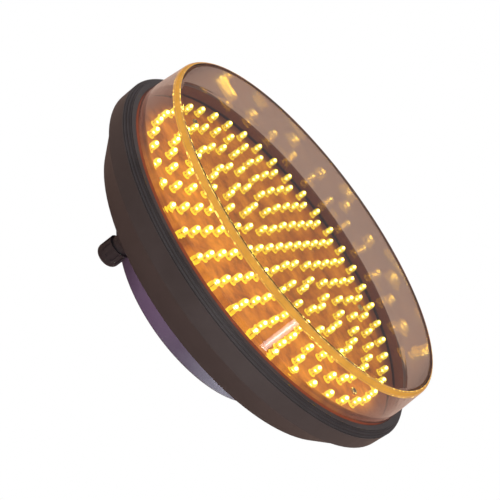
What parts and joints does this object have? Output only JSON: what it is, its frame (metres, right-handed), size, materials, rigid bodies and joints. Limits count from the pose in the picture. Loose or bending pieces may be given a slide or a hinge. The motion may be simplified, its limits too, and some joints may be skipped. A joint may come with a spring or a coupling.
{
  "type": "traffic signal lamp module",
  "caption": "Round amber LED lamp module for a traffic signal: clear flat-fronted lens, black rubber rim, tapered rear housing and a cable gland.",
  "frame": {"origin": "centre of the drum's flat rear face, which the module rests on", "axes": "+Z is the lamp's optical axis, towards the lens; -Y is towards the cable gland"},
  "size_m": [0.3, 0.3, 0.109],
  "materials": {
    "clear_lens": "clear, polished polycarbonate with a faint warm tint",
    "black_rubber": "matt moulded rubber",
    "silicone_seal": "satin silicone",
    "black_housing": "polished black, moulded",
    "black_nylon": "satin moulded nylon",
    "board_mask": "dark brown solder mask",
    "amber_led": "amber epoxy, lit",
    "resistor_body": "lacquered",
    "zinc_screws": "zinc plated",
    "driver_board_green": "green solder mask on glass-fibre laminate",
    "core_steel": "varnished laminations",
    "winding_tape": "yellow winding tape",
    "capacitor_sleeve": "shrink sleeve",
    "component_black": "moulded epoxy",
    "fuse_glass": "glass with metal end caps",
    "varistor_blue": "dipped epoxy",
    "choke_winding": "enamelled copper",
    "heat_sink_aluminium": "extruded",
    "terminal_green": "moulded nylon",
    "header_white": "moulded nylon",
    "lead_insulation": "wire insulation"
  },
  "bodies": {
    "root": {"lens_cover": "clear_lens", "rubber_gasket": "black_rubber", "lens_seal_ring": "silicone_seal", "rear_housing": "black_housing", "breather_plug": "black_nylon", "led_board": "board_mask", "led_centre": "amber_led", "led_resistors": "resistor_body", "board_screws": "zinc_screws", "driver_screws": "zinc_screws", "driver_board": "driver_board_green", "transformer_core": "core_steel", "transformer_winding": "winding_tape", "bulk_capacitors": "capacitor_sleeve", "bridge_rectifier": "component_black", "fuse": "fuse_glass", "surge_varistor": "varistor_blue", "line_choke": "choke_winding", "heat_sink": "heat_sink_aluminium", "switch_transistor": "component_black", "terminal_block": "terminal_green", "output_header": "header_white", "output_leads": "lead_insulation", "gland_body": "black_nylon", "gland_washer": "black_rubber", "gland_locknut": "black_nylon", "led_ring_1": "amber_led", "led_ring_2": "amber_led", "led_ring_3": "amber_led", "led_ring_4": "amber_led", "led_ring_5": "amber_led", "led_ring_6": "amber_led", "led_ring_7": "amber_led"},
    "gland_insert": {"gland_seal": "black_rubber", "gland_claw": "black_nylon"},
    "dome_nut": {"gland_dome_nut": "black_nylon"}
  },
  "joints": [
    {"name": "insert_slide", "type": "slide", "parent": "root", "child": "gland_insert", "axis": [0, 0, 1], "range_m": [-0.002, 0.005]},
    {"name": "dome_nut_turn", "type": "hinge", "parent": "gland_insert", "child": "dome_nut", "pos_m": [0, -0.116, 0.018], "axis": [0, 0, 1], "range_deg": [-480.5, 1200.5]}
  ],
  "couplings": [
    {"joint": "dome_nut_turn", "follows": "insert_slide", "rad_per_m": 4188.8}
  ]
}
